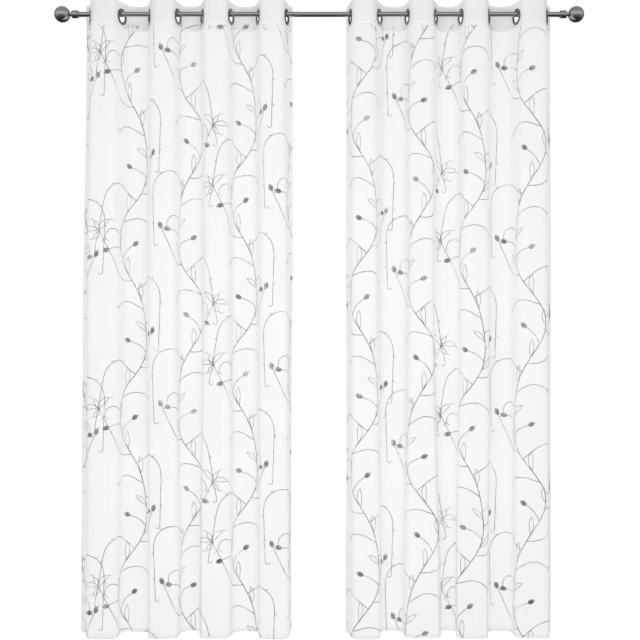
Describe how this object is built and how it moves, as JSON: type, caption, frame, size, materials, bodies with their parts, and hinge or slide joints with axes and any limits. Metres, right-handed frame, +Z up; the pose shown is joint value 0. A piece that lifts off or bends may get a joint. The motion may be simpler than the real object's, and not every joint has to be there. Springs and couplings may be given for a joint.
{
  "type": "sheer voile curtains on a curtain rod",
  "caption": "Pair of sheer eyelet curtains with a trailing vine print, hanging in waves on one round rod with ball finials.",
  "frame": {"origin": "middle of the rod's axis, half way between the two ball finials", "axes": "+X along the rod to the right as seen from the room, +Y back towards the wall, +Z up"},
  "size_m": [2.018, 0.1218, 2.412],
  "materials": {
    "voile": "sheer plain-weave voile, matt, slightly cool white",
    "voile_heading": "doubled and stiffened voile heading band",
    "eyelet_nickel": "polished nickel plate, slightly dark",
    "rod_nickel": "satin nickel, warm grey",
    "finial_nickel": "satin nickel, brighter highlight on the ball",
    "foil_print": "silver-grey foil print, thin, bright where it catches the light"
  },
  "bodies": {
    "root": {"panel_left": "voile", "panel_right": "voile", "heading_left": "voile_heading", "heading_right": "voile_heading", "eyelet_left_1": "eyelet_nickel", "eyelet_left_2": "eyelet_nickel", "eyelet_left_3": "eyelet_nickel", "eyelet_left_4": "eyelet_nickel", "eyelet_left_5": "eyelet_nickel", "eyelet_left_6": "eyelet_nickel", "eyelet_left_7": "eyelet_nickel", "eyelet_left_8": "eyelet_nickel", "eyelet_right_1": "eyelet_nickel", "eyelet_right_2": "eyelet_nickel", "eyelet_right_3": "eyelet_nickel", "eyelet_right_4": "eyelet_nickel", "eyelet_right_5": "eyelet_nickel", "eyelet_right_6": "eyelet_nickel", "eyelet_right_7": "eyelet_nickel", "eyelet_right_8": "eyelet_nickel", "rod": "rod_nickel", "finial_left": "finial_nickel", "finial_right": "finial_nickel"}
  },
  "joints": []
}
